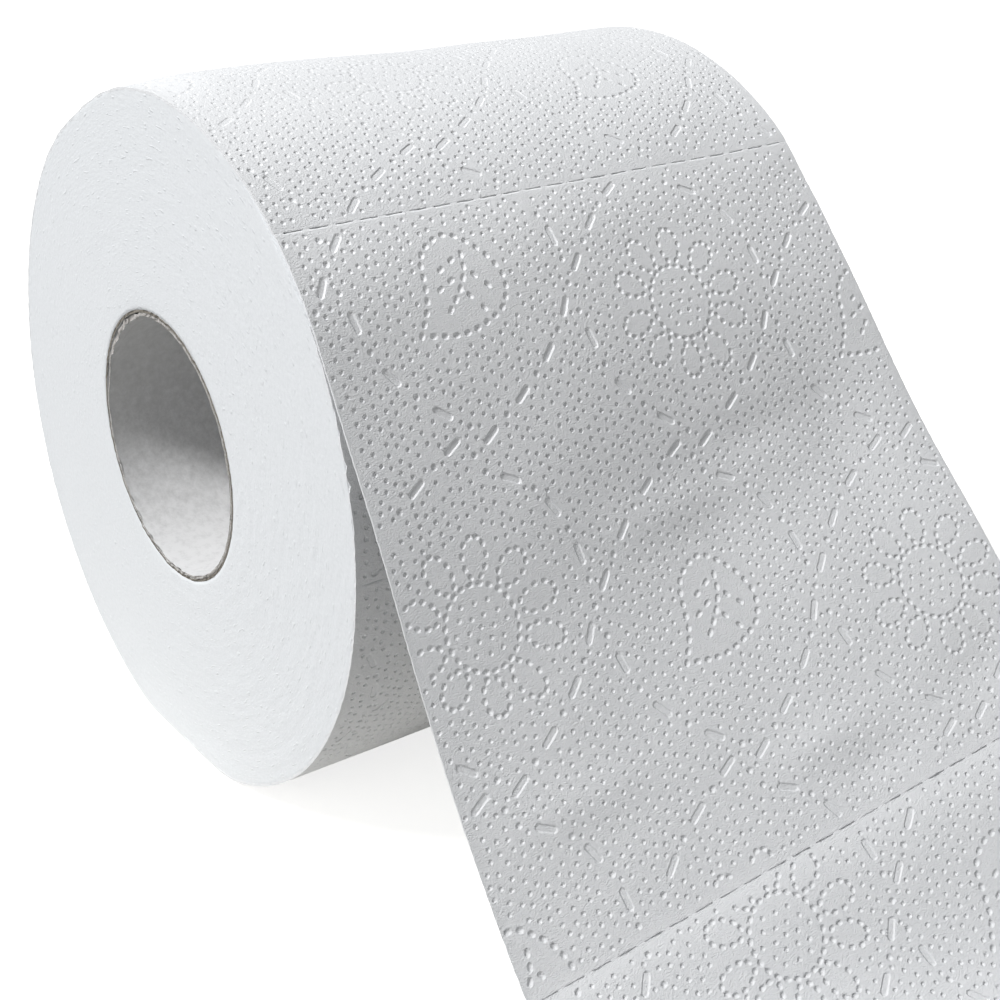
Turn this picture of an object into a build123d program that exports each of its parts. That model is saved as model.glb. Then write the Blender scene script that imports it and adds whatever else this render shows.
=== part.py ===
from build123d import *
import os
from math import cos, hypot, radians, sin, sqrt

# A toilet paper roll that lies on its side, with its loose end hanging over the front.
# Millimetres and degrees. The bore's centre is the origin, +Y runs along the core from
# the near end face to the far one, the loose end lies towards +X, and +Z is up.
# Angles about the core count up from +X towards +Z.

# Paper
paper_width = 96.0
paper_thickness = 0.5
sheet_length = 104.0

# Wound turns. A soft roll is a little oval, and a little off the centre of its core.
roll_diameter = 116.0
roll_oval = 1.4
oval_lean = 53.0
roll_shift_x = 1.5
roll_shift_z = -0.4
flat_spot_depth = 1.9
turn_gap = 0.15

# Turn lines on the end faces: a spiral notch that stands for the edges of the single turns
turn_lines = 12
turn_line_width = 0.4
turn_line_depth = 0.4
turn_line_margin = 1.2

# Loose end. It leaves the roll lower down at the near end than at the far one, so it
# hangs with a slight twist. Reach is in front of the roll, height is over the surface.
near_lift_angle = 32.0
far_lift_angle = 44.0
near_crease_reach = 39.0
far_crease_reach = 50.0
near_crease_height = 10.5
far_crease_height = 29.5
near_slope = 50.0
far_slope = 41.0
crease_bend = 6.0
near_landing = 20.0
far_landing = 43.0
hang_ease = 28.0
drop_ease = 31.0

# Perforations: cuts across the web with ties of whole paper between them
perforation_angle = 49.0
perforation_pitch = 4.1
perforation_cut = 3.1
perforation_slit = 0.25

# Core: two strips of board, wound as spirals one inside the other
core_diameter = 45.3
ply_thickness = 0.5
seam_width = 0.3
seam_pitch = 150.0
outer_seam_angle = 200.0
inner_seam_angle = 130.0

# Worked out from the sizes above
roll_radius = roll_diameter / 2
long_half = roll_radius + roll_oval
short_half = roll_radius - roll_oval
core_radius = core_diameter / 2
half_width = paper_width / 2
oval_sine = sin(radians(oval_lean))
oval_cosine = cos(radians(oval_lean))
lowest_point = roll_shift_z - hypot(long_half * oval_sine, short_half * oval_cosine)
rest_z = lowest_point + flat_spot_depth
flat_half_width = sqrt(2 * roll_radius * flat_spot_depth - flat_spot_depth**2)
top_angle = 70.0
bottom_angle = 270.0
blend_angle = 30.0
section_step = 20.0


def between(near, far, share):
    """Value part of the way from the near end face to the far one."""
    return near + (far - near) * share


def outline_radius(angle):
    """Half-width of the oval roll in one direction from its centre."""
    turned = radians(angle - oval_lean)
    return long_half * short_half / hypot(short_half * cos(turned), long_half * sin(turned))


def roll_point(angle, depth=0.0):
    """Point (x, z) on the roll's outline, or a depth inside it."""
    reach = outline_radius(angle) - depth
    x = roll_shift_x + reach * cos(radians(angle))
    z = roll_shift_z + reach * sin(radians(angle))
    return x, z


def forward_direction(angle):
    """Direction (x, z) of the paper on the roll, over the top and towards the front."""
    behind = roll_point(angle + 0.01)
    ahead = roll_point(angle - 0.01)
    length = hypot(ahead[0] - behind[0], ahead[1] - behind[1])
    return (ahead[0] - behind[0]) / length, (ahead[1] - behind[1]) / length


def slope_direction(slope):
    """Direction (x, z) of paper that falls towards the front at a slope."""
    return cos(radians(slope)), -sin(radians(slope))


def step(point, direction, distance):
    """Point (x, z) that lies a distance away along a direction."""
    return point[0] + direction[0] * distance, point[1] + direction[1] * distance


def under(point, direction, distance=paper_thickness):
    """Point (x, z) on the underside of paper that runs along a direction."""
    return point[0] + direction[1] * distance, point[1] - direction[0] * distance


def smooth(points, start_way, end_way):
    """Spline through points, with its first and last directions given."""
    return Spline(*points, tangents=(start_way, end_way), tangent_scalars=(1, 1))


def angles_between(start, end):
    """Evenly spaced angles with both ends, about one section step apart."""
    count = max(2, round(abs(end - start) / section_step))
    return [start + (end - start) * i / count for i in range(count + 1)]


def crease(y):
    """Point (x, z) of the lower perforation on the upper face, and the fall before it."""
    share = y / paper_width + 0.5
    reach = between(near_crease_reach, far_crease_reach, share)
    height = between(near_crease_height, far_crease_height, share)
    x = roll_shift_x + roll_radius + reach
    return (x, rest_z + height), between(near_slope, far_slope, share)


def web_section(y):
    """Outline of the web in a plane across the roll: wound turns, lifted turn and tail."""
    share = y / paper_width + 0.5
    lift = between(near_lift_angle, far_lift_angle, share)
    fold, fold_slope = crease(y)
    landing = between(near_landing, far_landing, share)
    landing_ease = landing / 2

    def at(point):
        return Vector(point[0], y, point[1])

    def along(direction):
        return Vector(direction[0], 0, direction[1])

    # Outer face of the lifted turn, from the roll down to the fold and on to the surface
    leave = roll_point(lift)
    leave_way = forward_direction(lift)
    fall_way = slope_direction(fold_slope)
    fold_way = slope_direction(fold_slope - crease_bend / 2)
    run_way = slope_direction(fold_slope - crease_bend)
    land = (fold[0] + landing, rest_z + paper_thickness)
    flat_way = (1.0, 0.0)
    hang = [leave, step(leave, leave_way, hang_ease), step(fold, fall_way, -drop_ease), fold]
    hang_ways = [leave_way, leave_way, fold_way, fold_way]
    drop = [fold, step(fold, run_way, landing_ease), step(land, flat_way, -landing_ease), land]
    drop_ways = [fold_way, fold_way, flat_way, flat_way]
    upper_hang = Bezier(*[at(point) for point in hang])
    upper_drop = Bezier(*[at(point) for point in drop])
    lower_hang = Bezier(*[at(under(point, way)) for point, way in zip(hang, hang_ways)][::-1])
    lower_drop = Bezier(*[at(under(point, way)) for point, way in zip(drop, drop_ways)][::-1])
    end = step(land, flat_way, sheet_length - upper_drop.length)
    upper_run = Line(at(land), at(end))
    end_edge = Line(at(end), at(under(end, flat_way)))
    lower_run = Line(at(under(end, flat_way)), at(under(land, flat_way)))

    # Turn below the lifted one, down to the flat spot
    turn_below = paper_thickness + turn_gap
    heel = Vector(roll_shift_x + flat_half_width, y, rest_z)
    front = angles_between(lift, bottom_angle - 360 + blend_angle)
    front_points = [at(roll_point(angle, turn_below)) for angle in front]
    wedge = Line(at(under(leave, leave_way)), front_points[0])
    front_face = smooth([*front_points, heel], along(leave_way), Vector(-1, 0, 0))

    # Flat spot, back and top, where the turn thickens the roll as it comes round
    toe = Vector(roll_shift_x - flat_half_width, y, rest_z)
    flat_spot = Line(heel, toe)
    back = angles_between(bottom_angle - blend_angle, top_angle)
    back_way = forward_direction(top_angle)
    back_points = [at(roll_point(angle)) for angle in back]
    back_face = smooth([toe, *back_points], Vector(-1, 0, 0), along(back_way))
    crown = angles_between(top_angle, lift)
    crown_points = [at(roll_point(angle)) for angle in crown]
    crown_face = smooth(crown_points, along(back_way), along(leave_way))

    return Wire([
        front_face, flat_spot, back_face, crown_face,
        upper_hang, upper_drop, upper_run, end_edge,
        lower_run, lower_drop, lower_hang, wedge,
    ])


def turn_line(side):
    """Spiral groove that shows the turns on one end face, -1 for near and 1 for far.

    Each half turn is an arc about a point a quarter of the spacing beside the core's axis,
    so that it starts where the last one ends.
    """
    first = core_radius + turn_line_margin
    last = short_half - flat_spot_depth - turn_line_margin
    spacing = (last - first) / turn_lines
    top = side * (half_width + turn_line_depth)
    bottom = side * (half_width - turn_line_depth)
    half_turns = []
    for i in range(2 * turn_lines):
        way = 1 if i % 2 == 0 else -1
        centre = -way * spacing / 4
        middle = centre + way * (first + (i + 0.5) * spacing / 2)
        edges = [(middle - turn_line_width, top), (middle + turn_line_width, top), (middle, bottom)]
        notch = make_face(Polyline(*edges, close=True))
        half_turns.append(revolve(notch, Axis((centre, 0, 0), (0, 1, 0)), 180))
    return half_turns


def slit(centre, along, outward):
    """One cut of a perforation: a thin box through the paper, with its length along it."""
    frame = Plane(origin=centre, x_dir=along, z_dir=outward)
    return frame * Box(perforation_cut, perforation_slit, 2 * paper_thickness)


def cut_places():
    """Places of the cuts across the web, as values of y."""
    count = int(paper_width // perforation_pitch)
    first = -(count - 1) * perforation_pitch / 2
    return [first + i * perforation_pitch for i in range(count)]


def roll_perforation():
    """Cuts of the perforation that lies on top of the roll."""
    x, z = roll_point(perforation_angle)
    way = forward_direction(perforation_angle)
    outward = (-way[1], 0, way[0])
    return [slit((x, y, z), (0, 1, 0), outward) for y in cut_places()]


def tail_perforation():
    """Cuts of the perforation at the fold of the tail."""
    near, near_fall = crease(-half_width)
    far, far_fall = crease(half_width)
    along = Vector(far[0] - near[0], paper_width, far[1] - near[1])
    cuts = []
    for y in cut_places():
        point, fall = crease(y)
        way = slope_direction(fall - crease_bend / 2)
        middle = under(point, way, paper_thickness / 2)
        cuts.append(slit((middle[0], y, middle[1]), along, (-way[1], 0, way[0])))
    return cuts


def paper_web():
    """The web as one piece: wound turns, flat spot, lifted turn, tail and its cuts."""
    sections = [web_section(y) for y in (-half_width, 0, half_width)]
    web = Solid.make_loft(sections, ruled=True)
    bore = Plane.XZ * Cylinder(core_radius, 2 * paper_width)
    return web - bore - turn_line(-1) - turn_line(1) - roll_perforation() - tail_perforation()


def core_ply(outer_radius, seam_angle):
    """One strip of board, wound into a tube, with the spiral gap between its edges."""
    tube = Plane.XZ * Cylinder(outer_radius, paper_width)
    tube -= Plane.XZ * Cylinder(outer_radius - ply_thickness, 2 * paper_width)
    middle = outer_radius - ply_thickness / 2
    run = Helix(seam_pitch, 1.1 * paper_width, middle, (0, -0.55 * paper_width, 0), (0, 1, 0))
    path = Rot(0, -seam_angle, 0) * run
    across = Plane(origin=path @ 0, x_dir=Vector((path @ 0).X, 0, (path @ 0).Z), z_dir=path % 0)
    seam = sweep(across * Rectangle(2 * ply_thickness, seam_width), path, is_frenet=True)
    return tube - seam


parts = {
    "paper_web": paper_web(),
    "core_outer_ply": core_ply(core_radius, outer_seam_angle),
    "core_inner_ply": core_ply(core_radius - ply_thickness, inner_seam_angle),
}
os.makedirs("parts", exist_ok=True)
for name, shape in parts.items():
    export_step(shape, f"parts/{name}.step")
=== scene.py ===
import math

import bpy
import numpy as np
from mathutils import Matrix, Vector
from mathutils.geometry import delaunay_2d_cdt
from mathutils.kdtree import KDTree


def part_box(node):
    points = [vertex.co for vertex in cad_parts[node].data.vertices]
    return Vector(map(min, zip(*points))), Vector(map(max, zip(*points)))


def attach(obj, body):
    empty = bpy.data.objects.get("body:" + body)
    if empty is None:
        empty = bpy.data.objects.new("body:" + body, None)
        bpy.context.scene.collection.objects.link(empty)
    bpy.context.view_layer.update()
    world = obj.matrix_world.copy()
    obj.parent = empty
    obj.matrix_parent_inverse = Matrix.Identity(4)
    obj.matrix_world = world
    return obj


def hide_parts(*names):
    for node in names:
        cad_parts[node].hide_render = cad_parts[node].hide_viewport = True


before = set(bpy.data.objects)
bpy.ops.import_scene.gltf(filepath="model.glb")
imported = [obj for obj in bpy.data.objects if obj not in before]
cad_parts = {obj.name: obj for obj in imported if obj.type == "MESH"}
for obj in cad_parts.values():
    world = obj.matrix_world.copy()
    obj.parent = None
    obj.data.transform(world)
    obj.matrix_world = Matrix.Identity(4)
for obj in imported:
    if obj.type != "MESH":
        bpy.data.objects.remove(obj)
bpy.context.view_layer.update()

# A toilet paper roll that lies on its side, with its loose end hanging over the front.
# Lengths are millimetres and become metres when a mesh is made. Angles are degrees and
# count up from +X towards +Z. On the web, u runs along the paper from the perforation on
# top of the roll and v runs across it, from the near edge to the far one.

MM = 0.001

# Sizes taken from the frame
web_low, web_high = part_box("paper_web")
_, core_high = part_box("core_outer_ply")
half_width = web_high.y / MM
rest_z = web_low.z / MM
core_radius = core_high.x / MM

# Roll and loose end, as the frame has them. Pairs are for the near and the far edge.
roll_radius = 58.0
roll_oval = 1.4
oval_lean = 53.0
roll_shift_x = 1.5
roll_shift_z = -0.4
sheet_length = 104.0
web_thickness = 0.5
turn_below = 0.65
lift_angles = (32.0, 44.0)
crease_reaches = (39.0, 50.0)
crease_heights = (10.5, 29.5)
slopes = (50.0, 41.0)
crease_bend = 6.0
landings = (20.0, 43.0)
hang_ease = 28.0
drop_ease = 31.0
perforation_angle = 49.0
perforation_pitch = 4.1
perforation_tie = 1.0
cut_length = perforation_pitch - perforation_tie
cut_count = int(2 * half_width // perforation_pitch)
first_cut = -(cut_count - 1) * perforation_pitch / 2
ply_thickness = 0.5
seam_pitch = 150.0

# Embossing: an ogee lattice of dashes and dots round daisies and leaves, on a dotted ground
lattice_a = np.array((35.3, 9.4))
lattice_b = np.array((-11.7, 45.3))
lattice_start = np.array((-29.1, 32.3))
ground_spacing = 1.8
ground_gap = 1.5
ground_lean = 30.0
dot_radius = 0.47
dot_depth = 0.21
bold_radius = 0.66
bold_depth = 0.27
dash_half_length = 1.15
dash_radius = 0.63
dash_depth = 0.18
outline_dot_radius = 0.52
outline_dot_depth = 0.21
leaf_dot = (0.15, 0.58, 0.24)
vein_dot = (0.25, 0.54, 0.2)
heart_dot = (0.0, 0.5, 0.17)
heart_radius = 5.4

# Marks with a half-length over these are oval, or long with an even floor
oval_from = 0.1
long_from = 0.5

# Rings of each kind of mark: points, shares of its radius and depth, and steepness
small_rings = ((7, 1.0, 0.0, 0.0), (7, 0.6, 0.65, 4.9))
oval_rings = ((8, 1.0, 0.0, 0.0), (8, 0.6, 0.65, 4.7))
long_rings = ((20, 1.0, 0.0, 0.0), (20, 0.86, 0.35, 6.5), (20, 0.66, 0.8, 6.5), (16, 0.5, 1.0, 0.0))
small_bump = (6, 0.9, 0.0, 0.6)
long_bump = (8, 0.9, 0.0, 0.6)
mark_clearance = 0.52

# Sheets: their thickness in the visual model, and the spacing of their plain points
loose_skin = 0.3
wound_skin = 0.45
front_spacing = 2.0
loose_spacing = 2.2
wound_spacing = 5.0

# Angle past a full turn at which the outermost turn is tucked under the loose end, and
# where it starts to sink under it
tuck_angle = 4.0
sink_from = 262.0
sink_over = 36.0

# Grid of u and v on which the web's face is worked out
table_step = 0.5
table_columns = 33

seed = np.random.default_rng(7)


def blend(a, b, share):
    return a + (b - a) * share


def ease(x):
    """Smooth step from 0 to 1."""
    x = np.clip(x, 0.0, 1.0)
    return x * x * (3 - 2 * x)


def unit(vectors):
    """Vectors made one long."""
    return vectors / np.maximum(np.linalg.norm(vectors, axis=-1, keepdims=True), 1e-9)


def roll_point(angle, depth):
    """Points (x, z) on the oval roll's outline, or a depth inside it."""
    a = np.radians(angle)
    turned = a - math.radians(oval_lean)
    long_half = roll_radius + roll_oval
    short_half = roll_radius - roll_oval
    reach = long_half * short_half / np.hypot(short_half * np.cos(turned), long_half * np.sin(turned))
    reach = reach - depth
    return np.stack([roll_shift_x + reach * np.cos(a), roll_shift_z + reach * np.sin(a)], -1)


def above_floor(z, softness=0.5):
    """Heights pressed flat where they would pass under the surface that the roll lies on."""
    return rest_z + softness * np.logaddexp(0.0, (z - rest_z) / softness)


def bezier(points, count=160):
    t = np.linspace(0.0, 1.0, count)[:, None]
    p0, p1, p2, p3 = [np.array(p) for p in points]
    return (1 - t) ** 3 * p0 + 3 * t * (1 - t) ** 2 * p1 + 3 * t * t * (1 - t) * p2 + t**3 * p3


def falling(slope):
    """Direction (x, z) of paper that falls towards the front at a slope."""
    return np.array((math.cos(math.radians(slope)), -math.sin(math.radians(slope))))


def web_line(share):
    """Web's upper face in one plane across the roll, as (u, x, z) from the tuck to the end."""
    lift = blend(*lift_angles, share)
    angles = np.append(np.arange(lift + 360 + tuck_angle, lift, -0.5), lift)
    depth = turn_below * ease((angles - sink_from) / sink_over)
    turn = roll_point(angles, depth)
    turn[:, 1] = above_floor(turn[:, 1])
    leave_way = unit(turn[-1] - turn[-2])
    fold_height = blend(*crease_heights, share)
    fold_reach = blend(*crease_reaches, share)
    fold = np.array((roll_shift_x + roll_radius + fold_reach, rest_z + fold_height))
    slope = blend(*slopes, share)
    landing = blend(*landings, share)
    land = np.array((fold[0] + landing, rest_z + web_thickness))
    hang = [turn[-1], turn[-1] + leave_way * hang_ease, fold - falling(slope) * drop_ease, fold]
    after = falling(slope - crease_bend) * landing / 2
    drop = [fold, fold + after, land - (landing / 2, 0), land]
    hang_line = bezier(hang)
    drop_line = bezier(drop)
    drop_length = np.hypot(*np.diff(drop_line, axis=0).T).sum()
    end = land + (sheet_length - drop_length, 0)
    line = np.concatenate([turn, hang_line[1:], drop_line[1:], [end]])
    u = np.concatenate([[0.0], np.cumsum(np.hypot(*np.diff(line, axis=0).T))])
    u -= np.interp(-perforation_angle, -angles, u[: len(angles)])
    fold_u = u[len(turn) + len(hang_line) - 2]
    first = np.clip(u, 0.0, fold_u) * (sheet_length / fold_u)
    u = np.where(u < 0, u, np.where(u < fold_u, first, sheet_length + u - fold_u))
    return u, line[:, 0], line[:, 1]


def make_table():
    shares = np.linspace(0.0, 1.0, table_columns)
    lines = [web_line(share) for share in shares]
    start = min(line[0][0] for line in lines)
    us = np.arange(math.floor(start), 2 * sheet_length + table_step, table_step)
    x = np.stack([np.interp(us, u, x) for u, x, z in lines], 1)
    z = np.stack([np.interp(us, u, z) for u, x, z in lines], 1)
    return us, x, z, [line[0][0] for line in lines]


table_u, table_x, table_z, tuck_ends = make_table()


def look_up(u, v):
    """Points of the web's upper face, by linear interpolation in the table."""
    row = np.clip((u - table_u[0]) / table_step, 0, len(table_u) - 1.001)
    column = np.clip((v / half_width + 1) / 2, 0, 1) * (table_columns - 1)
    column = np.minimum(column, table_columns - 1.001)
    i = row.astype(int)
    j = column.astype(int)
    fu = row - i
    fv = column - j
    out = []
    for grid in (table_x, table_z):
        low = grid[i, j] * (1 - fu) + grid[i + 1, j] * fu
        high = grid[i, j + 1] * (1 - fu) + grid[i + 1, j + 1] * fu
        out.append(low * (1 - fv) + high * fv)
    return np.stack([out[0], v, out[1]], -1)


def normals(u, v):
    along = look_up(u + 0.5, v) - look_up(u - 0.5, v)
    across = look_up(u, np.minimum(v + 1.0, half_width)) - look_up(u, np.maximum(v - 1.0, -half_width))
    return unit(np.cross(along, across))


def ripple(u, v, waves, size):
    """Sum of slanting waves. Each wave is (cycles along u, cycles along v, phase, share)."""
    total = 0.0
    for along, across, phase, share in waves:
        total = total + share * np.sin(2 * np.pi * (along * u + across * v) + phase)
    return size * total


def random_waves(count, low, high, slant=1.0):
    waves = []
    for _ in range(count):
        cycles = seed.uniform(low, high)
        heading = seed.uniform(-np.pi, np.pi)
        across = slant * cycles * math.sin(heading)
        waves.append((cycles * math.cos(heading), across, seed.uniform(0, 2 * np.pi), 1 / count**0.5))
    return waves


tail_waves = random_waves(7, 0.010, 0.026)
soft_waves = random_waves(9, 0.02, 0.06)
rim_waves = random_waves(6, 0.10, 0.2, slant=0.1)
gap_waves = random_waves(6, 0.02, 0.08, slant=0.05)


# Soft ridges and hollows of the loose end: (v, u, height, reach across, reach along)
folds = [
    (-1, 52, 0.4, 10, 3.5), (18, 45, -0.35, 9, 3.5), (-30, 84, 0.3, 11, 3.5),
    (6, 92, 0.35, 8, 3.0), (14, 98, -0.3, 7, 3.0), (38, 93, -0.5, 9, 5.0),
]


def dents(u, v):
    """Hollow across the far half of the loose end, and the small soft ridges about it."""
    hollow = np.exp(-(((u - 51) / 16) ** 2)) * ease((v + 26) / 36) * (1 - 0.7 * ease((v - 30) / 18))
    total = -2.1 * hollow
    for across, along, height, wide, long in folds:
        total = total + height * np.exp(-(((v - across) / wide) ** 2) - ((u - along) / long) ** 2)
    return total


def slumped(u):
    """How far the near rim has sunk at the upper left."""
    return 0.8 * np.exp(-(((u + 66) / 12) ** 2))


def relief(u, v):
    """How far the web stands off its ideal face: soft waves, a crumpled rim and a loose edge."""
    hanging = ease((u - 22) / 30) * (1 - ease((u - 118) / 30))
    soft = ripple(u, v, tail_waves, 0.5) * hanging
    soft = soft + ripple(u, v, soft_waves, 0.05) * (1 - ease((u - 130) / 20))
    near_edge = np.exp(-(v + half_width) / 5.0)
    crumpled = ease((u + 105) / 25) * (1 - ease((u + 38) / 12))
    rim = ripple(u, v, rim_waves, 0.07) * near_edge * crumpled
    far_edge = np.exp(-(half_width - v) / 6.0)
    loose = (ease((u + 40) / 25) * (1 - ease((u - 10) / 10))) * (near_edge + far_edge)
    lifted = (0.2 + ripple(u, v, gap_waves, 0.12)) * loose
    past_fold = np.maximum(u - sheet_length, 0.0)
    kick = blend(0.2, 0.1, v / (2 * half_width) + 0.5) * past_fold * np.exp(-past_fold / 6.0)
    over_top = ease((u + 88) / 20) * (1 - ease((u + 40) / 14))
    puffed = over_top * ease((v + half_width) / 11) * (1 - ease((v + 26) / 40))
    sunk = slumped(u) * np.exp(-(v + half_width) / 8.0)
    return soft + rim + lifted + kick + 0.9 * puffed - sunk + dents(u, v)


def smooth_points(points, count=24):
    """Catmull-Rom curve through points, as many short runs."""
    p = np.array(points, float)
    p = np.concatenate([[2 * p[0] - p[1]], p, [2 * p[-1] - p[-2]]])
    t = np.linspace(0, 1, count, endpoint=False)[:, None]
    runs = []
    for a, b, c, d in zip(p[:-3], p[1:-2], p[2:-1], p[3:]):
        square = 2 * a - 5 * b + 4 * c - d
        cube = 3 * b - a - 3 * c + d
        runs.append(0.5 * (2 * b + (c - a) * t + square * t**2 + cube * t**3))
    return np.concatenate([*runs, [p[-2]]])


def spread(points, count, ends=False):
    """Evenly spaced places along a curve, with the direction there. Its ends are left out."""
    line = smooth_points(points)
    s = np.concatenate([[0.0], np.cumsum(np.hypot(*np.diff(line, axis=0).T))])
    places = np.linspace(0, s[-1], count) if ends else np.linspace(0, s[-1], count + 2)[1:-1]

    def at(place):
        return np.array([np.interp(place, s, line[:, k]) for k in (0, 1)])

    ways = [at(place + 0.1) - at(place - 0.1) for place in places]
    return [(at(place), math.atan2(way[1], way[0])) for place, way in zip(places, ways)]


def mark(place, way=0.0, half_length=0.0, radius=dot_radius, depth=dot_depth):
    return (place[0], place[1], way, half_length, radius, depth)


def bold_dot(place):
    return mark(place, 0.0, 0.0, bold_radius, bold_depth)


def dash(place, way):
    return mark(place, way, dash_half_length, dash_radius, dash_depth)


def marks_along(points, kinds):
    """Dashes and bold dots between the two ends of a curve, one for each sign in kinds."""
    out = []
    for kind, (place, way) in zip(kinds, spread(points, len(kinds))):
        out.append(dash(place, way) if kind == "-" else bold_dot(place))
    return out


def lattice_marks():
    """Marks of one cell of the ogee lattice, from its first node."""
    crossing = (10.3, 28.9)
    upper_left = [(0.4, 6.5), (6.4, 10.3), (9.8, 16.6), (10.8, 23.7), crossing]
    lower_right = [crossing, (10.7, 34.8), (12.7, 43.2), (17.8, 49.9), tuple(lattice_a + lattice_b)]
    upper_right = [tuple(lattice_a), (24.8, 15.4), (18.6, 20.1), crossing]
    lower_left = [crossing, (5.8, 35.5), (-0.1, 41.1), (-6.7, 45.7), (-12.3, 49.2)]
    marks = [bold_dot(p) for p in ((0.0, 0.0), (-0.6, 3.9), (0.4, 6.5), crossing)]
    marks += marks_along(upper_left, "-.-.-.")
    marks += marks_along(lower_right, ".-.-.-")
    marks += marks_along(upper_right, "-.-.-.-")
    marks += marks_along(lower_left, "-.-.-.-")
    return marks


def outline_dot(place, way, stretch=0.12):
    return mark(place, way, stretch, outline_dot_radius, outline_dot_depth)


petals = 10
petal_start = 0.74
petal_middle = 9.2
petal_half_length = 2.8
petal_half_width = 1.78


def daisy_marks():
    """Dotted daisy: a ring of dots, dots inside it and ten petals."""
    marks = []
    ring = heart_radius
    ring_dots = 24
    for i in range(ring_dots):
        a = 2 * math.pi * i / ring_dots
        place = (ring * math.cos(a), 1.09 * ring * math.sin(a))
        marks.append(outline_dot(place, a + math.pi / 2, 0.15))
    pitch = 1.95
    for row in range(-2, 3):
        for column in range(-2, 3):
            place = np.array((column + 0.5 * (row % 2), row * 0.87)) * pitch
            if np.hypot(*place) < 0.75 * ring:
                marks.append(mark(place + seed.uniform(-0.2, 0.2, 2), 0.0, *heart_dot))
    for i in range(petals):
        a = 2 * math.pi * (i + petal_start) / petals + seed.uniform(-0.05, 0.05)
        out_way = np.array((math.cos(a), math.sin(a)))
        side_way = np.array((-out_way[1], out_way[0]))
        middle = petal_middle + seed.uniform(-0.2, 0.2)
        half_length = petal_half_length + seed.uniform(-0.2, 0.2)
        dots = 10
        for k in range(dots):
            b = math.radians(blend(-152, 152, k / (dots - 1)))
            half_petal = petal_half_width * (1 + 0.1 * math.cos(b))
            reach = middle + half_length * math.cos(b)
            place = out_way * reach + side_way * half_petal * math.sin(b)
            turn = out_way * (-half_length * math.sin(b)) + side_way * half_petal * math.cos(b)
            marks.append(outline_dot(place, math.atan2(turn[1], turn[0])))
    return marks


leaf_outline = [
    (-7.3, 6.0), (-5.1, 2.2), (-4.3, -1.0), (-3.5, -4.6), (-1.2, -6.9), (1.9, -7.7), (4.8, -5.6),
    (6.9, -2.6), (7.7, 0.6), (6.3, 4.0), (3.2, 5.9), (-0.6, 6.9), (-3.8, 6.7), (-7.3, 6.0),
]
leaf_veins = [
    ([(-1.8, 3.3), (0.4, 0.9), (2.1, -1.8), (2.7, -4.3)], 6),
    ([(-1.2, -2.6), (0.9, -3.7)], 2),
    ([(-2.3, 0.2), (-0.3, -0.8)], 2),
    ([(3.4, -1.0), (4.9, 0.8)], 2),
    ([(1.7, 1.8), (3.2, 3.9)], 2),
]


def leaf_marks():
    """Dotted leaf: an outline with its tip at one side, a middle vein and four side veins."""
    outline = spread(leaf_outline, 28, ends=True)[:-1]
    marks = [mark(place, way, *leaf_dot) for place, way in outline]
    for points, count in leaf_veins:
        marks += [mark(place, way, *vein_dot) for place, way in spread(points, count, ends=True)]
    return marks


def moved(marks, shift):
    return [(m[0] + shift[0], m[1] + shift[1], *m[2:]) for m in marks]


def fixed_marks(cells):
    """Lattice, daisies and leaves of the given cells. Daisies and leaves take turns."""
    lattice = lattice_marks()
    daisy = daisy_marks()
    leaf = leaf_marks()
    marks = []
    centres = []
    for i, j in cells:
        start = lattice_start + i * lattice_a + j * lattice_b
        marks += moved(lattice, start)
        is_daisy = (i + j) % 2 == 0
        shift = np.array((-0.3, 3.4) if is_daisy else (-1.6, 3.2)) + start + lattice_b / 2
        marks += moved(daisy if is_daisy else leaf, shift)
        centres.append((shift, is_daisy))
    return marks, centres


period = np.stack([lattice_a + lattice_b, lattice_a - lattice_b])


def wrapped(difference):
    """Shortest form of differences between points of the repeating pattern."""
    steps = difference @ np.linalg.inv(period)
    return (steps - np.round(steps)) @ period


def gaps(points, others):
    """Wrapped differences between each point and each of the others, as (2, n, m)."""
    d = (points[:, None] - others[None]).reshape(-1, 2)
    return wrapped(d).T.reshape(2, len(points), len(others))


def inside_motif(points, centres, margin):
    """True where a point lies in a daisy or a leaf, or nearer than the margin."""
    leaf = smooth_points(leaf_outline, 6)
    hit = np.zeros(len(points), bool)
    for centre, is_daisy in centres:
        d = wrapped(points - centre)
        r = np.hypot(d[:, 0], d[:, 1])
        if is_daisy:
            petal = 2 * np.pi / petals
            a = np.arctan2(d[:, 1], d[:, 0]) - petal * petal_start
            a = (a + petal / 2) % petal - petal / 2
            out = (r * np.cos(a) - petal_middle) / (petal_half_length + margin)
            side = r * np.sin(a) / (petal_half_width + margin)
            hit |= out**2 + side**2 < 1
            hit |= r < heart_radius + 1 + margin / 2
        else:
            inside = np.zeros(len(points), bool)
            for (x0, y0), (x1, y1) in zip(leaf[:-1], leaf[1:]):
                crosses = (y0 > d[:, 1]) != (y1 > d[:, 1])
                level = np.where(crosses, d[:, 1] - y0, 0) / (y1 - y0 if y1 != y0 else 1.0)
                inside ^= crosses & (d[:, 0] < x0 + level * (x1 - x0))
            edge = np.min(np.hypot(d[:, None, 0] - leaf[:, 0], d[:, None, 1] - leaf[:, 1]), 1)
            hit |= inside | (edge < margin)
    return hit


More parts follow.
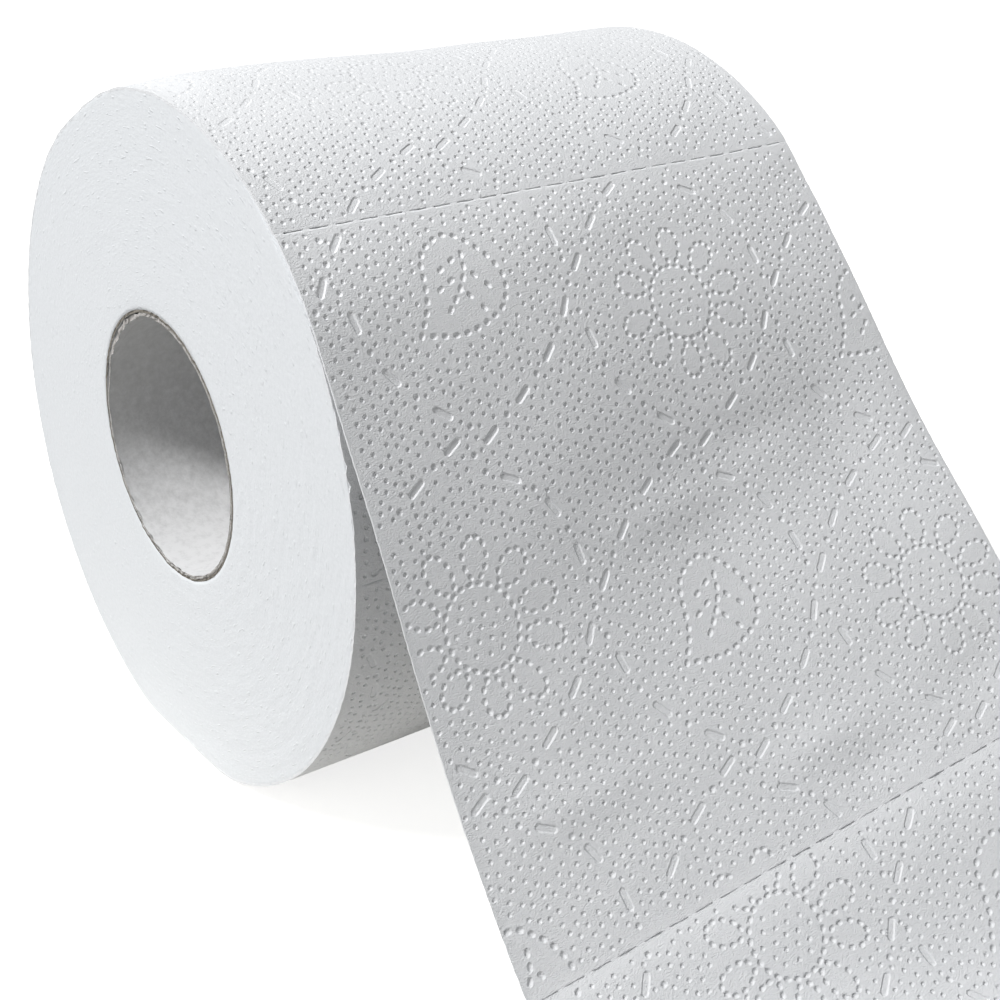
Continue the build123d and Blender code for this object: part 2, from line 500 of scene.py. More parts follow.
def ground_dots(marks, centres):
    """Dots of the ground in one period, pushed apart until they lie evenly."""
    fixed = np.array([m[:2] for m in marks])
    stretched = [fixed]
    for m in marks:
        if m[3] > long_from:
            way = np.array((math.cos(m[2]), math.sin(m[2]))) * m[3]
            stretched.append(np.array([m[:2] + way, m[:2] - way]))
    fixed = np.concatenate(stretched)
    rows = []
    for i in range(-80, 80):
        for j in range(-80, 80):
            rows.append(((i + 0.5 * (j % 2)) * ground_spacing, j * ground_spacing * 0.87))
    c, s = math.cos(math.radians(ground_lean)), math.sin(math.radians(ground_lean))
    points = np.array(rows) @ np.array(((c, s), (-s, c)))
    steps = points @ np.linalg.inv(period)
    points = points[np.all((steps >= 0) & (steps < 1), 1)]
    points = points + seed.uniform(-0.45, 0.45, points.shape)
    points = points[~inside_motif(points, centres, 1.15)]
    points = points[np.min(np.hypot(*gaps(points, fixed)), 1) > 1.0]
    for _ in range(14):
        push = np.zeros_like(points)
        for others, wanted, share in ((points, ground_gap, 0.5), (fixed, 1.45, 1.0)):
            d = gaps(points, others)
            r = np.hypot(*d)
            near = (r < wanted) & (r > 1e-6)
            strength = np.where(near, share * (wanted - r) / np.where(near, r, 1.0), 0.0)
            push += (d * strength).sum(2).T
        points = points + 0.6 * push
    return points


def wandered(marks):
    """Marks a little out of place, because the web slips and stretches as it is embossed."""
    v, u = marks[:, 0], marks[:, 1]
    hump = np.exp(-(((u - 14) / 24) ** 2)) * ease((v + 38) / 30)
    dip = np.exp(-(((u - 58) / 20) ** 2)) * (1 - ease((v + 38) / 28))
    out = marks.copy()
    out[:, 0] += 1.8 * hump - 1.7 * dip
    out[:, 1] += 0.024 * v * ease((u + 10) / 20) + 1.3 * (1 - ease((u + 26) / 20))
    return out


def all_marks(u_low, u_high):
    """Every mark of the embossing between two places along the web."""
    cells = [(i, j) for i in range(-4, 5) for j in range(-12, 8)]
    marks, _ = fixed_marks([(0, 0), (1, 0)])
    _, centres = fixed_marks([(0, 0), (1, 0)])
    dots = ground_dots(marks, centres)
    marks, _ = fixed_marks(cells)
    for i in range(-16, 17):
        for j in range(-16, 17):
            shift = i * period[0] + j * period[1]
            if abs(shift[0]) < 130 and u_low - 100 < shift[1] < u_high + 100:
                marks += [mark(p) for p in dots + shift]
    marks = wandered(np.array(marks))
    keep = (np.abs(marks[:, 0]) < half_width + 2) & (marks[:, 1] > u_low) & (marks[:, 1] < u_high)
    return marks[keep]


marks = all_marks(table_u[0], 2 * sheet_length)


def add_object(name, data):
    made = bpy.data.objects.new(name, data)
    bpy.context.scene.collection.objects.link(made)
    return made


def make_piece(name, points, faces, slots, materials, corner_normals=None):
    """Mesh object from points in millimetres and triangles, with a material index each."""
    mesh = bpy.data.meshes.new(name)
    mesh.vertices.add(len(points))
    mesh.vertices.foreach_set("co", (np.asarray(points) * MM).astype(np.float32).ravel())
    mesh.loops.add(3 * len(faces))
    mesh.loops.foreach_set("vertex_index", np.asarray(faces, np.int32).ravel())
    mesh.polygons.add(len(faces))
    mesh.polygons.foreach_set("loop_start", np.arange(0, 3 * len(faces), 3, dtype=np.int32))
    mesh.polygons.foreach_set("material_index", np.asarray(slots, np.int32))
    mesh.polygons.foreach_set("use_smooth", np.full(len(faces), True))
    mesh.update(calc_edges=True)
    if corner_normals is not None:
        mesh.normals_split_custom_set(corner_normals)
    for material in materials:
        mesh.materials.append(material)
    return add_object(name, mesh)


def stadium(count, ratio):
    """Evenly spaced places round a stadium of radius 1: shares of its half-length, and angles."""
    cap = np.pi
    side = 2 * ratio
    s = (np.arange(count) + 0.5) / count * 2 * (cap + side)
    half = s % (cap + side)
    turned = np.where(s >= cap + side, np.pi, 0.0)
    on_cap = half < cap
    angle = np.where(on_cap, half - np.pi / 2, np.pi / 2) + turned
    share = np.where(on_cap, 1.0, 1.0 - 2 * (half - cap) / max(side, 1e-9))
    return np.where(turned > 0, -share, share), angle


def ring_points(chosen, count, scale, height, rounding):
    """Rings round marks: (v, u, height, rise along v, rise along u), count points each."""
    v, u, way, half_length, radius, depth = chosen.T[:, :, None]
    share, a = stadium(count, chosen[0, 3] / (chosen[0, 4] * scale))
    long_part = radius * scale * np.cos(a) + half_length * share
    short_part = radius * scale * np.sin(a)
    c = np.cos(way)
    s = np.sin(way)
    rise = rounding * depth / radius
    rows = [
        v + long_part * c - short_part * s,
        u + long_part * s + short_part * c,
        -depth * height + 0 * a,
        rise * (np.cos(a) * c - np.sin(a) * s),
        rise * (np.cos(a) * s + np.sin(a) * c),
    ]
    return np.stack(rows, -1).reshape(-1, 5)


def line_points(chosen, places):
    """Points on the floor of marks, at shares of their half-length."""
    v, u, way, half_length, _, depth = chosen.T
    rows = []
    for place in places:
        along = half_length * place
        middle_v, middle_u = v + along * np.cos(way), u + along * np.sin(way)
        rows.append(np.stack([middle_v, middle_u, -depth, 0 * v, 0 * v], -1))
    return np.concatenate(rows)


def mark_points(start, end, fine):
    """All points of the marks that lie clear of the edges of one sheet."""
    rv = marks[:, 4] + marks[:, 3] * np.abs(np.cos(marks[:, 2]))
    ru = marks[:, 4] + marks[:, 3] * np.abs(np.sin(marks[:, 2]))
    inside = np.abs(marks[:, 0]) + rv < half_width - 0.2
    inside &= (marks[:, 1] - ru > start + mark_clearance) & (marks[:, 1] + ru < end - mark_clearance)
    chosen = marks[inside]
    half_length = chosen[:, 3]
    small = chosen[half_length <= oval_from]
    oval = chosen[(half_length > oval_from) & (half_length <= long_from)]
    long = chosen[half_length > long_from]
    if not fine:
        return np.concatenate([
            ring_points(small, *small_bump),
            ring_points(oval, *small_bump),
            line_points(chosen[half_length <= long_from], (0,)),
            ring_points(long, *long_bump),
            line_points(long, (-0.9, 0.9)),
        ])
    parts = [ring_points(small, *ring) for ring in small_rings]
    parts += [line_points(small, (0,))]
    parts += [ring_points(oval, *ring) for ring in oval_rings]
    parts += [line_points(oval, (0,))]
    parts += [ring_points(long, *ring) for ring in long_rings]
    return np.concatenate(parts)


def edge_places():
    """Places across the web with the ends and middles of each perforation cut."""
    shares = (-0.5, -0.42, -0.2, 0.0, 0.2, 0.42, 0.5)
    middles = [first_cut + i * perforation_pitch for i in range(cut_count)]
    inner = [middle + cut_length * share for middle in middles for share in shares]
    return np.array([-half_width, *inner, half_width])


def cut_share(v):
    """1 in the middle of each cut, 0 at the ties between the cuts."""
    step = (v - first_cut) / perforation_pitch
    off = np.abs(step - np.clip(np.round(step), 0, cut_count - 1)) * perforation_pitch
    half_cut = cut_length / 2
    return np.clip((half_cut - off) / (0.12 * half_cut), 0, 1)


# Shallow trough beside a perforation, as (reach, depth, rise): below the cuts, then above
trough_below = ((0.0, 0.1, 0.9), (0.2, 0.04, 0.7), (0.45, 0.0, 0.0))
trough_above = ((0.0, 0.07, 0.5), (0.15, 0.0, 0.0))


def trough_share(edge, v):
    """1 at the cuts on the roll and less at their ties, nothing at the fold and at the web's end."""
    return 0.0 if edge > 0.5 * sheet_length else 0.25 + 0.75 * float(cut_share(v))


def trough_rows(start, end, places, part):
    """Points along both perforated edges of a sheet, sunk in their shallow trough."""
    rows = []
    for edge, way, trough in ((start, 1, trough_below), (end, -1, trough_above)):
        for reach, depth, rise in trough[part]:
            for v in places:
                share = trough_share(edge, v)
                rows.append((v, edge + way * reach, -depth * share, 0.0, way * rise * share))
    return rows


def border_points(start, end):
    """Points on the four edges of one sheet."""
    sides = np.linspace(start, end, int((end - start) / 0.9))[1:-1]
    rows = [(v, u, 0.0, 0.0, 0.0) for v in (-half_width, half_width) for u in sides]
    return np.array(rows + trough_rows(start, end, edge_places(), slice(0, 1)))


def trough_points(start, end):
    """Points beside the perforations, where the trough rises to the sheet's face."""
    across = np.arange(-half_width + 0.4, half_width - 0.2, 0.7)
    return np.array(trough_rows(start, end, across, slice(1, None)))


def filler_points(start, end, taken, spacing, clearance):
    """Points on a loose grid wherever nothing else is near."""
    tree = KDTree(len(taken))
    for i, row in enumerate(taken):
        tree.insert((row[0], row[1], 0), i)
    tree.balance()
    rows = []
    for i, u in enumerate(np.arange(start + spacing / 2, end - spacing / 4, spacing * 0.87)):
        first = -half_width + spacing / 2 + 0.5 * spacing * (i % 2)
        for v in np.arange(first, half_width - 0.3, spacing):
            if tree.find((v, u, 0))[2] > clearance:
                rows.append((v, u))
    v, u = np.array(rows).reshape(-1, 2).T
    flat = np.zeros(len(v))
    return np.stack([v, u, flat, flat, flat], -1)


def triangulate(points):
    """Triangles between points (v, u), all wound the same way."""
    flat = [Vector((p[0], p[1])) for p in points]
    _, _, faces, origins, _, _ = delaunay_2d_cdt(flat, [], [], 0, 1e-5, True)
    order = np.array([o[0] for o in origins])
    faces = order[np.array(faces)]
    (ax, ay), (bx, by), (cx, cy) = [points[faces[:, k], :2].T for k in range(3)]
    turn = (bx - ax) * (cy - ay) - (by - ay) * (cx - ax)
    faces = faces[np.abs(turn) > 1e-7]
    turn = turn[np.abs(turn) > 1e-7]
    faces[turn > 0] = faces[turn > 0][:, ::-1]
    return faces


def rim_edges(faces):
    """Directed edges that only one triangle has."""
    edges = np.concatenate([faces[:, [0, 1]], faces[:, [1, 2]], faces[:, [2, 0]]])
    key = edges.min(1).astype(np.int64) * 10_000_000 + edges.max(1)
    _, index, counts = np.unique(key, return_index=True, return_counts=True)
    return edges[index[counts == 1]]


edge_waves = random_waves(10, 0.15, 0.9, slant=0.0)
lip_waves = random_waves(8, 0.05, 0.4, slant=1.0)
notch_waves = random_waves(9, 0.12, 0.45, slant=0.0)


def standing(u, v):
    """Points of the web's face with its waves, which die away where it lies flat."""
    u = np.asarray(u)
    lay = ease((u - 132) / 25)
    return look_up(u, v) + normals(u, v) * (relief(u, v) * (1 - lay))[:, None]


def mark_strength(u):
    """How deep the marks are along the web: pressed flat over the top, full where it hangs."""
    hanging = 0.28 + 0.82 * ease((u + 28) / 32) - 0.15 * ease((u - 45) / 20)
    return hanging + (0.55 * (1 - ease((u + 115) / 30)) + 0.35 * np.exp(-(((u - 33) / 16) ** 2)))


def placed(points, start, end):
    """Sheet points in space and their normals, with drawn-back cuts and uneven edges."""
    v, u = points.T[:2]
    height, rise_v, rise_u = points.T[2:] * mark_strength(u)
    at_start = np.abs(u - start) < 1e-6
    at_end = np.abs(u - end) < 1e-6
    cut = cut_share(v) * (at_start | at_end)
    ragged = 0.04 * np.sin(v * 2.3 + start) + ripple(v, v, edge_waves, 0.03)
    u = u + np.where(at_start, 1, -1) * cut * (0.07 + 0.4 * ragged)
    height = height + cut * ripple(v, v * 0.5, lip_waves, 0.06)
    under_fold = cut * np.where(at_start, abs(start - sheet_length) < 1, 0.0)
    over_fold = cut * np.where(at_end, abs(end - sheet_length) < 1, 0.0)
    u = u - under_fold * 0.2 + over_fold * (0.06 + ragged)
    height = height - under_fold * 0.1 + over_fold * (0.15 + ripple(v, v * 0.5, lip_waves, 0.04))
    along = unit(standing(u + 0.3, v) - standing(u - 0.3, v))
    across = unit(standing(u, v + 0.3) - standing(u, v - 0.3))
    n = unit(np.cross(along, across))
    place = standing(u, v) + n * height[:, None]
    side = np.abs(v) > half_width - 1e-6
    inward = -np.sign(v) * side
    place[:, 1] += inward * (0.03 + ripple(u, u * 0, edge_waves, 0.03))
    worn = ease((-3 * sheet_length - 4 - u) / 8) * (v < 0)
    notches = np.maximum(0.0, ripple(u, u * 0, notch_waves, 1.0) - 0.3)
    place[:, 1] += inward * worn * 0.4 * notches
    shading = unit(n - across * rise_v[:, None] - along * rise_u[:, None])
    return place, n, shading


def closed_sheet(name, start, end, fine_back, material):
    """One sheet of the web as a closed thin solid with embossed pits.

    Where the back shows, each pit is a bump on it. On the roll the back is plain.
    """
    border = border_points(start, end)
    pits = np.concatenate([mark_points(start, end, True), trough_points(start, end)])
    fill = filler_points(start, end, np.concatenate([border, pits]), front_spacing, 0.85)
    front = np.concatenate([border, pits, fill])
    faces = triangulate(front)
    top, _, top_shading = placed(front, start, end)
    back = mark_points(start, end, False) if fine_back else border[:0]
    space = loose_spacing if fine_back else wound_spacing
    taken = np.concatenate([border, back])
    back = np.concatenate([taken, filler_points(start, end, taken, space, space / 2)])
    back_faces = triangulate(back)
    bottom, n, low_shading = placed(back, start, end)
    bottom = bottom - n * (loose_skin if fine_back else wound_skin)
    first, second = rim_edges(faces).T
    shift = len(front)
    walls = np.concatenate([
        np.stack([second, first, first + shift], 1),
        np.stack([second, first + shift, second + shift], 1),
    ])
    points = np.concatenate([top, bottom])
    corners = [faces, back_faces[:, ::-1] + shift, walls]
    shading = np.concatenate([top_shading, -low_shading])
    a, b, c = [points[walls[:, k]] for k in range(3)]
    side = unit(np.cross(b - a, c - a))
    corner_normals = np.concatenate([
        shading[corners[0].ravel()],
        shading[corners[1].ravel()],
        np.repeat(side, 3, 0),
    ])
    everything = np.concatenate(corners)
    return make_piece(name, points, everything, np.zeros(len(everything)), [material], corner_normals)


def new_material(name, color, roughness):
    material = bpy.data.materials.new(name)
    material.use_nodes = True
    shader = material.node_tree.nodes["Principled BSDF"]
    shader.inputs["Base Color"].default_value = (*color, 1.0)
    shader.inputs["Roughness"].default_value = roughness
    shader.inputs["Specular IOR Level"].default_value = 0.2
    return material, material.node_tree, shader


def node(tree, kind, inputs):
    """New node with its inputs set: sockets are linked, all else is a value."""
    made = tree.nodes.new(kind)
    for name, value in inputs.items():
        if isinstance(value, bpy.types.NodeSocket):
            tree.links.new(value, made.inputs[name])
        else:
            made.inputs[name].default_value = value
    return made


def noise(tree, vector, scale, detail=2.0, roughness=0.5):
    inputs = {"Vector": vector, "Scale": scale, "Detail": detail, "Roughness": roughness}
    return node(tree, "ShaderNodeTexNoise", inputs).outputs["Fac"]


def maths(tree, operation, *inputs):
    made = node(tree, "ShaderNodeMath", dict(enumerate(inputs)))
    made.operation = operation
    return made.outputs[0]


def object_place(tree):
    return tree.nodes.new("ShaderNodeTexCoord").outputs["Object"]


def axes(tree, place):
    return node(tree, "ShaderNodeSeparateXYZ", {0: place}).outputs


def climb(tree, value, low, high, top=1.0, kind="LINEAR"):
    """0 below one level of a value and the top share above another."""
    made = node(tree, "ShaderNodeMapRange", {0: value, 1: low, 2: high, 3: 0.0, 4: top})
    made.interpolation_type = kind
    return made.outputs[0]


def mixed(tree, share, first, second):
    return node(tree, "ShaderNodeMixShader", {0: share, 1: first, 2: second}).outputs[0]


def mapped(tree, source, scale):
    return node(tree, "ShaderNodeMapping", {"Vector": source, "Scale": scale}).outputs["Vector"]


def bump(tree, height, strength, distance, before=None):
    inputs = {"Height": height, "Strength": strength, "Distance": distance}
    if before is not None:
        inputs["Normal"] = before
    return node(tree, "ShaderNodeBump", inputs).outputs["Normal"]


def dress(tree, shader, tint, normal):
    tree.links.new(tint, shader.inputs["Base Color"])
    tree.links.new(normal, shader.inputs["Normal"])


def ramp(tree, value, stops):
    made = tree.nodes.new("ShaderNodeValToRGB")
    ends = made.color_ramp.elements
    for element, (place, color) in zip(ends, (stops[0], stops[-1])):
        element.position = place
        element.color = (*color, 1.0)
    for place, color in stops[1:-1]:
        element = ends.new(place)
        element.color = (*color, 1.0)
    tree.links.new(value, made.inputs["Fac"])
    return made.outputs["Color"]


def let_light_through(tree, place, shader, tint, normal, most):
    """Mix in light from behind, more of it where the sheet hangs farther from the roll."""
    behind = node(tree, "ShaderNodeBsdfTranslucent", {"Color": tint, "Normal": normal})
    share = climb(tree, axes(tree, place)["X"], 0.044, 0.072, most, "SMOOTHSTEP")
    surface = mixed(tree, share, shader.outputs[0], behind.outputs[0])
    tree.links.new(surface, tree.nodes["Material Output"].inputs["Surface"])


def tissue_material(name, light_through):
    """Soft embossed tissue: fine crepe lines across the web and a loose felt of fibres."""
    material, tree, shader = new_material(name, (0.86, 0.87, 0.885), 0.95)
    place = object_place(tree)
    crepe = noise(tree, mapped(tree, place, (5600, 2500, 5600)), 1.0, 2.0, 0.55)
    felt = noise(tree, place, 4200, 2.0, 0.5)
    normal = bump(tree, crepe, 1.0, 0.00013)
    normal = bump(tree, felt, 0.8, 0.00009, normal)
    cloud = noise(tree, place, 900, 4.0, 0.65)
    lift = 0.04 if light_through > 0 else 0.0
    low = (0.835 + lift, 0.845 + lift, 0.86 + lift)
    high = (0.885 + lift, 0.893 + lift, 0.905 + lift)
    tint = ramp(tree, cloud, [(0.3, low), (0.7, high)])
    dress(tree, shader, tint, normal)
    if light_through > 0:
        let_light_through(tree, place, shader, tint, normal, light_through)
    return material


def round_coordinates(tree, place, radial, turning, along):
    """Vector that runs out from the roll's axis, round it and along it."""
    parts = axes(tree, place)
    x, z = parts["X"], parts["Z"]
    squares = maths(tree, "ADD", maths(tree, "MULTIPLY", x, x), maths(tree, "MULTIPLY", z, z))
    reach = maths(tree, "SQRT", squares)
    angle = maths(tree, "ARCTAN2", z, x)
    scaled = [
        maths(tree, "MULTIPLY", source, scale)
        for source, scale in ((reach, radial), (angle, turning), (parts["Y"], along))
    ]
    return node(tree, "ShaderNodeCombineXYZ", dict(enumerate(scaled))).outputs[0]


def end_material():
    """Cut edges of the wound turns: near-white, with fine grains drawn out round the roll."""
    material, tree, shader = new_material("wound_edges", (0.88, 0.895, 0.91), 0.95)
    place = object_place(tree)
    around = round_coordinates(tree, place, 2300.0, 34.0, 900.0)
    dashes = noise(tree, around, 1.0, 3.0, 0.6)
    grain = noise(tree, place, 1500, 3.0, 0.6)
    normal = bump(tree, dashes, 0.35, 0.0002)
    normal = bump(tree, grain, 0.3, 0.00015, normal)
    chips = noise(tree, round_coordinates(tree, place, 1700.0, 26.0, 900.0), 1.0, 1.0, 0.5)
    sparse = ramp(tree, chips, [(0.66, (0.0, 0.0, 0.0)), (0.74, (1.0, 1.0, 1.0))])
    normal = bump(tree, sparse, 0.45, 0.0002, normal)
    tint = ramp(tree, grain, [(0.3, (0.79, 0.81, 0.83)), (0.65, (0.83, 0.85, 0.87))])
    dress(tree, shader, tint, normal)
    return material


def board_material():
    """Inner face of the core: grey recycled board with flecks and faint lines, with painted light
    towards the bottom and painted shade towards the top.
    """
    material, tree, shader = new_material("board", (0.7, 0.7, 0.7), 0.85)
    place = object_place(tree)
    flecks = noise(tree, place, 700, 5.0, 0.7)
    cloud = noise(tree, place, 120, 3.0, 0.6)
    fine = maths(tree, "MULTIPLY_ADD", flecks, 0.45, 0.275)
    # Painted light and shade: the flecks' tone gets paler lower down the bore and darker higher up
    flecks_and_painted_light = maths(tree, "MULTIPLY_ADD", axes(tree, place)["Z"], -9.0, fine)
    dark, middle, pale = (0.47, 0.47, 0.465), (0.6, 0.6, 0.6), (0.82, 0.82, 0.825)
    tint = ramp(tree, flecks_and_painted_light, [(0.3, dark), (0.5, middle), (0.7, pale)])
    normal = bump(tree, flecks, 0.3, 0.0002)
    normal = bump(tree, cloud, 0.3, 0.0004, normal)
    dress(tree, shader, tint, normal)
    return material


def cut_board_material(name, dark, middle, pale):
    """Cut rim of the core: board with torn fibres."""
    material, tree, shader = new_material(name, middle, 0.95)
    place = object_place(tree)
    around = round_coordinates(tree, place, 3500.0, 60.0, 2500.0)
    fibres = noise(tree, around, 1.0, 4.0, 0.7)
    tint = ramp(tree, fibres, [(0.3, dark), (0.5, middle), (0.75, pale)])
    dress(tree, shader, tint, bump(tree, fibres, 0.6, 0.0004))
    return material


tissue = tissue_material("tissue", 0.0)
loose_tissue = tissue_material("loose_tissue", 0.12)
wound_edges = end_material()
board = board_material()
cut_greys = ((0.14, 0.125, 0.105), (0.24, 0.22, 0.19), (0.4, 0.38, 0.34))
torn_greys = ((0.3, 0.28, 0.26), (0.5, 0.48, 0.46), (0.72, 0.7, 0.68))
cut_board = cut_board_material("cut_board", *cut_greys)
torn_board = cut_board_material("torn_board", *torn_greys)


def band(first, second, columns):
    """Triangles between rings of points, given by the numbers of the rings' first points."""
    j = np.arange(columns)
    k = (j + 1) % columns
    one = np.stack([first + j, first + k, second + k], -1)
    two = np.stack([first + j, second + k, second + j], -1)
    return np.concatenate([one.reshape(-1, 3), two.reshape(-1, 3)])


def tube_faces(rows, columns, base=0):
    first = base + np.arange(rows - 1)[:, None] * columns
    return band(first, first + columns, columns)


turn_count = 60
turn_columns = 420
under_web = 0.22


def turn_relief():
    """How far each turn's edge stands out, drawn as one line from the core to the outside."""
    total = turn_count * turn_columns
    s = np.arange(total)
    out = np.zeros(total)
    for cycles, size in ((260, 0.006), (900, 0.008), (3300, 0.014), (7000, 0.014)):
        knots = seed.normal(0, 1, cycles + 2)
        place = s / total * cycles
        i = place.astype(int)
        f = ease(place - i)
        out += size * (knots[i] * (1 - f) + knots[i + 1] * f)
    around = np.cos(2 * np.pi * (s % turn_columns) / turn_columns + 0.4)
    out *= 0.35 + 0.9 * ease((around + 0.6) / 1.6)
    return out.reshape(turn_count, turn_columns)


def wound_turns():
    """The turns under the outermost one: their edges on both end faces, and a plain back."""
    angles = np.linspace(0, 360, turn_columns, endpoint=False)
    sinking = ease((angles - sink_from) / sink_over)
    open_part = np.where(angles > 180, sinking, 1 - ease((angles - 46) / 16))
    past_top = (perforation_angle - angles) * math.pi / 180 * roll_radius
    rims = {}
    for side in (-1, 1):
        sunk = slumped(past_top) if side < 0 else 0.0
        rim = roll_point(angles, under_web + turn_below * open_part + sunk)
        rim[:, 1] = above_floor(rim[:, 1] - under_web) + under_web
        rims[side] = rim
    inner = np.stack([np.cos(np.radians(angles)), np.sin(np.radians(angles))], -1) * core_radius
    shares = np.concatenate([[0.0], np.linspace(0.0015, 0.9985, turn_count - 2), [1.0]])
    rings = []
    for side in (-1, 1):
        stand = turn_relief()
        for i, share in enumerate(shares):
            xz = blend(inner, rims[side], share)
            edge = 0.2 * math.exp(-i / 1.5) + 0.02 * math.exp(-(turn_count - 1 - i) / 1.2)
            y = side * (half_width - 0.04 - edge + stand[i] * min(1.0, (turn_count - i) / 3))
            rings.append(np.stack([xz[:, 0], y, xz[:, 1]], -1))
    near = rings[:turn_count]
    far = rings[turn_count:]
    points = np.concatenate([*near, *far[::-1]])
    bore = band((2 * turn_count - 1) * turn_columns, 0, turn_columns)
    faces = np.concatenate([tube_faces(2 * turn_count, turn_columns), bore])
    return make_piece("wound_turns", points, faces, np.zeros(len(faces)), [wound_edges])


def ply(name, outer, seam_angle, wear, rim):
    """One spiral strip of the core as a tube with its seam and an uneven cut rim."""
    columns = np.concatenate([[0.0, 0.5, 0.9, 1.3, 1.8], np.linspace(4, 356, 150)])
    rows = np.concatenate([
        -half_width + np.array([0.0, 0.15, 0.4]),
        np.linspace(-half_width + 0.75, -half_width + 6.3, 17),
        np.linspace(-half_width + 7, half_width - 7, 26),
        half_width - np.array([4.0, 2.6, 1.6, 0.9, 0.4, 0.15, 0.0]),
    ])
    turn = 360.0 / seam_pitch
    inner = outer - ply_thickness
    seam = [0.0, -0.02, 0.22, 0.26, 0.12, 0.1, 0.0, 0.0]
    groove = np.interp(columns, [0, 0.5, 0.9, 1.3, 1.8, 4, 356, 360], seam)
    shells = []
    for radius, way in ((outer - 0.01, 0.0), (inner, 1.0)):
        for y in rows:
            angle = np.radians(columns + seam_angle - turn * (y + half_width))
            reach = radius + way * groove * 0.8
            reach = reach + wear(angle, y, way)
            depth = np.full(len(columns), y)
            if abs(abs(y) - half_width) < 1e-6:
                torn = 0.08 * np.sin(angle * 23) * np.sin(angle * 7 + 1)
                torn = torn + 0.06 * np.sin(angle * 71) * np.sin(angle * 5)
                depth = depth - np.sign(y) * (0.14 + torn)
            shells.append(np.stack([reach * np.cos(angle), depth, reach * np.sin(angle)], -1))
    count = len(rows)
    ring = len(columns)
    outer_faces = tube_faces(count, ring)
    inner_faces = tube_faces(count, ring, count * ring)[:, ::-1]
    near_end = band(0, count * ring, ring)[:, ::-1]
    far_end = band((count - 1) * ring, (2 * count - 1) * ring, ring)
    faces = np.concatenate([outer_faces, inner_faces, near_end, far_end])
    wall_count = len(outer_faces) + len(inner_faces)
    slots = np.concatenate([np.zeros(wall_count), np.ones(len(faces) - wall_count)])
    points = np.concatenate(shells)
    return make_piece(name, points, faces, slots, [board, rim])


def near_rim(y, reach):
    return math.exp(-(y + half_width) / reach)


def outer_wear(angle, y, way):
    return np.zeros_like(angle)


def around(angle, middle, reach):
    """1 at one place round the core, dying away on both sides of it."""
    off = (np.degrees(angle) - middle + 180) % 360 - 180
    return np.exp(-((off / reach) ** 2))


def inner_wear(angle, y, way):
    """Inner ply's rim: come away at the upper left, and wavy where it has."""
    away = 0.45 * around(angle, 138, 24) + 0.5 * around(angle, 165, 8) + 0.12 * around(angle, 200, 40)
    waves = np.sin(angle * 37 + 1.0) + 0.7 * np.sin(angle * 61) + 0.5 * np.sin(angle * 14)
    wavy = 0.1 * around(angle, 120, 35) + 0.03
    worn = -away * near_rim(y, 3.5) - wavy * waves * near_rim(y, 0.8)
    share = np.clip((150 - np.degrees(angle) % 360) / 45, 0, 1)
    tear = blend(0.6, 4.6, share) * (share > 0) * (share < 1)
    return worn - 0.3 * way * (share > 0) * (y + half_width < tear)


white = (1.0, 1.0, 1.0, 1.0)


def floor_and_backdrop():
    """Floor that looks white and still keeps the roll's shadow.

    It is greyer in front of the near end face, so that it throws less light on it.
    """
    mesh = bpy.data.meshes.new("floor")
    reach = 4.0
    z = rest_z * MM
    corners = [(-reach, -reach, z), (reach, -reach, z), (reach, reach, z), (-reach, reach, z)]
    mesh.from_pydata(corners, [], [(0, 1, 2, 3)])
    floor = add_object("floor", mesh)
    material = bpy.data.materials.new("floor_white")
    material.use_nodes = True
    tree = material.node_tree
    tree.nodes.clear()
    output = tree.nodes.new("ShaderNodeOutputMaterial")
    rays = tree.nodes.new("ShaderNodeLightPath").outputs
    deep = climb(tree, axes(tree, object_place(tree))["Y"], -0.14, -0.04)
    grey = ramp(tree, deep, [(0.0, (0.4, 0.4, 0.4)), (1.0, (0.8, 0.785, 0.75))])
    diffuse = node(tree, "ShaderNodeBsdfDiffuse", {"Color": grey})
    seen = maths(tree, "MAXIMUM", rays["Is Camera Ray"], rays["Is Glossy Ray"])
    seen = maths(tree, "MAXIMUM", seen, rays["Is Transmission Ray"])
    strength = maths(tree, "MULTIPLY", seen, 0.78)
    glow = node(tree, "ShaderNodeEmission", {"Color": white, "Strength": strength})
    both = node(tree, "ShaderNodeAddShader", {0: diffuse.outputs[0], 1: glow.outputs[0]})
    tree.links.new(both.outputs[0], output.inputs["Surface"])
    mesh.materials.append(material)


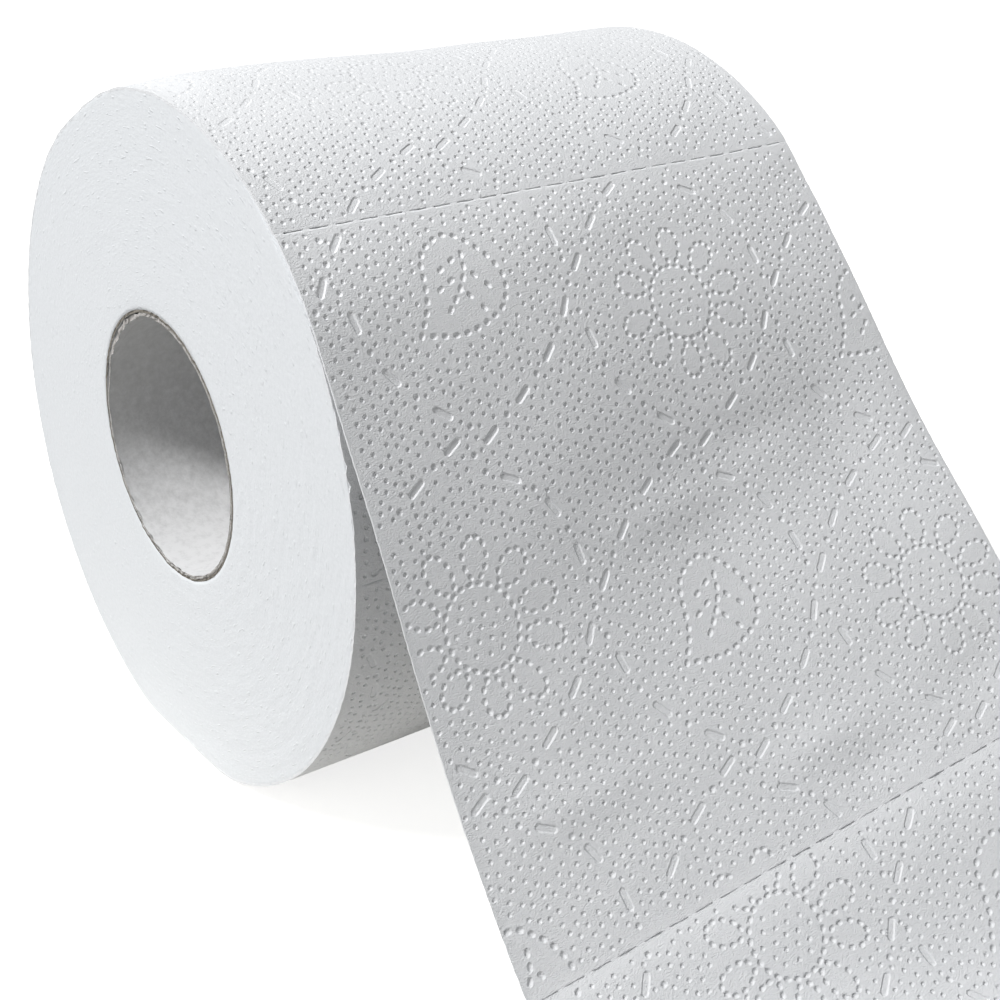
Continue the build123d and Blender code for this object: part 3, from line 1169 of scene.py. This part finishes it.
def world_light():
    """Soft studio surround that is brightest overhead and behind the roll on its left."""
    world = bpy.data.worlds.new("studio")
    bpy.context.scene.world = world
    world.use_nodes = True
    tree = world.node_tree
    tree.nodes.clear()
    output = tree.nodes.new("ShaderNodeOutputWorld")
    rays = tree.nodes.new("ShaderNodeLightPath")
    way = tree.nodes.new("ShaderNodeTexCoord").outputs["Generated"]
    level = 0.08
    lobes = [((-0.86, 0.0, 0.5), 2.0, 0.32), ((0.0, 0.0, 1.0), 4.0, 0.73)]
    for direction, power, strength in lobes:
        facing = node(tree, "ShaderNodeVectorMath", {0: way, 1: direction})
        facing.operation = "DOT_PRODUCT"
        lobe = maths(tree, "MAXIMUM", facing.outputs["Value"], 0.0)
        lobe = maths(tree, "POWER", lobe, power)
        level = maths(tree, "MULTIPLY_ADD", lobe, strength, level)
    sky = (0.97, 0.985, 1.0, 1.0)
    soft = node(tree, "ShaderNodeBackground", {"Color": sky, "Strength": level})
    seen = node(tree, "ShaderNodeBackground", {"Color": white})
    light = mixed(tree, rays.outputs["Is Camera Ray"], soft.outputs[0], seen.outputs[0])
    tree.links.new(light, output.inputs["Surface"])


lamps_aim = Vector((0.04, -0.02, 0.0))


def soft_box(name, way, reach, power, size):
    """Round soft lamp that stands off in a direction and looks at the roll."""
    data = bpy.data.lights.new(name, "AREA")
    data.shape = "DISK"
    data.energy = power
    data.size = size
    lamp = add_object(name, data)
    lamp.location = lamps_aim + Vector(way).normalized() * reach
    lamp.rotation_mode = "QUATERNION"
    lamp.rotation_quaternion = Vector(way).to_track_quat("Z", "Y")


def camera():
    """Camera at the photograph's viewing angle."""
    data = bpy.data.cameras.new("camera")
    data.sensor_width = 36.0
    data.lens = 61.18
    data.clip_start = 0.005
    made = add_object("camera", data)
    made.location = (0.2378, -0.1551, 0.1062)
    made.rotation_euler = (math.radians(65.63), 0.0, math.radians(53.72))
    bpy.context.scene.camera = made


# Sheets of the web from the loose end backwards. The last one ends under the loose end.
first_u = float(max(tuck_ends))
limits = [
    ("loose_end_sheet", sheet_length, 2 * sheet_length, True),
    ("hanging_sheet", 0.0, sheet_length, True),
    ("top_sheet", -sheet_length, 0.0, False),
    ("back_sheet", -2 * sheet_length, -sheet_length, False),
    ("underside_sheet", -3 * sheet_length, -2 * sheet_length, False),
    ("tucked_sheet", first_u, -3 * sheet_length, False),
]
sheets = []
for name, start, end, loose in limits:
    sheets.append(closed_sheet(name, start, end, loose, loose_tissue if loose else tissue))
turns = wound_turns()
outer_ply = ply("core_outer_strip", core_radius, 200.0, outer_wear, cut_board)
inner_ply = ply("core_inner_strip", core_radius - ply_thickness, 130.0, inner_wear, torn_board)

for piece in [*sheets, turns]:
    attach(piece, "root")
    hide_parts("paper_web")
for piece, name in ((outer_ply, "core_outer_ply"), (inner_ply, "core_inner_ply")):
    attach(piece, "root")
    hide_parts(name)

floor_and_backdrop()
world_light()
soft_box("key_light", (-0.14, -0.62, 0.77), 1.4, 17.0, 0.4)
soft_box("fill_light", (0.1, -0.98, 0.14), 0.9, 0.15, 0.5)
camera()
bpy.context.scene.view_settings.view_transform = "Standard"
